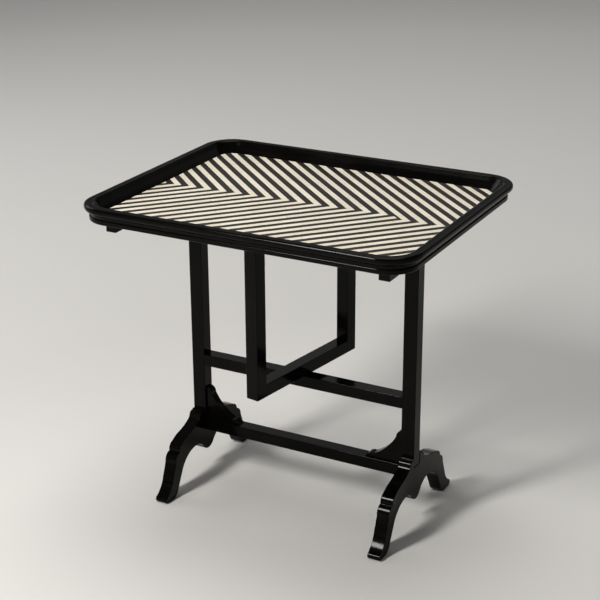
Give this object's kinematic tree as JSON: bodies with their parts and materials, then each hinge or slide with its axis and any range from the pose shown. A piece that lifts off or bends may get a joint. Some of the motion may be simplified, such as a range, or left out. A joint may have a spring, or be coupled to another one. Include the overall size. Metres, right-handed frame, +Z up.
{
  "type": "folding tray table",
  "caption": "Rectangular tray with a moulded rim and a chevron-inlaid floor, on a trestle whose swivelling gate turns out under the tray or folds flat between the posts.",
  "frame": {"origin": "on the floor, under the middle of the tray and of the trestle", "axes": "+X along the tray's long side and the stretchers, towards the chevrons' points; +Y to the back; +Z up"},
  "size_m": [0.642, 0.513, 0.611],
  "materials": {
    "black_lacquer": "black lacquer, satin gloss",
    "bone": "polished bone strips",
    "ebony": "dark ebonised strips, polished",
    "dowel": "plain beech",
    "steel": "darkened steel",
    "brass": "plain brass"
  },
  "bodies": {
    "trestle_and_tray": {"left_foot_board": "black_lacquer", "right_foot_board": "black_lacquer", "left_post": "black_lacquer", "right_post": "black_lacquer", "lower_stretcher": "black_lacquer", "middle_stretcher": "black_lacquer", "top_rail": "black_lacquer", "left_bracket": "black_lacquer", "right_bracket": "black_lacquer", "bracket_dowels": "dowel", "lower_pivot_pin": "steel", "upper_pivot_pin": "steel", "lower_pivot_washer": "brass", "upper_pivot_washer": "brass", "tray_base": "black_lacquer", "bone_strips": "bone", "ebony_strips": "ebony", "rim_front": "black_lacquer", "rim_back": "black_lacquer", "rim_left": "black_lacquer", "rim_right": "black_lacquer", "rim_corner_front_left": "black_lacquer", "rim_corner_front_right": "black_lacquer", "rim_corner_back_left": "black_lacquer", "rim_corner_back_right": "black_lacquer", "left_batten": "black_lacquer", "right_batten": "black_lacquer", "batten_screws": "steel", "tray_pivot_pins": "steel", "front_gate_rest": "black_lacquer", "back_gate_rest": "black_lacquer", "gate_rest_screws": "steel"},
    "gate": {"gate_front_leg": "black_lacquer", "gate_back_leg": "black_lacquer", "gate_bottom_bar": "black_lacquer", "gate_top_bar": "black_lacquer"}
  },
  "joints": [
    {"name": "gate_swing", "type": "hinge", "parent": "trestle_and_tray", "child": "gate", "pos_m": [0, 0, 0.4052], "axis": [0, 0, 1], "range_deg": [-80.4, 99.6]}
  ]
}
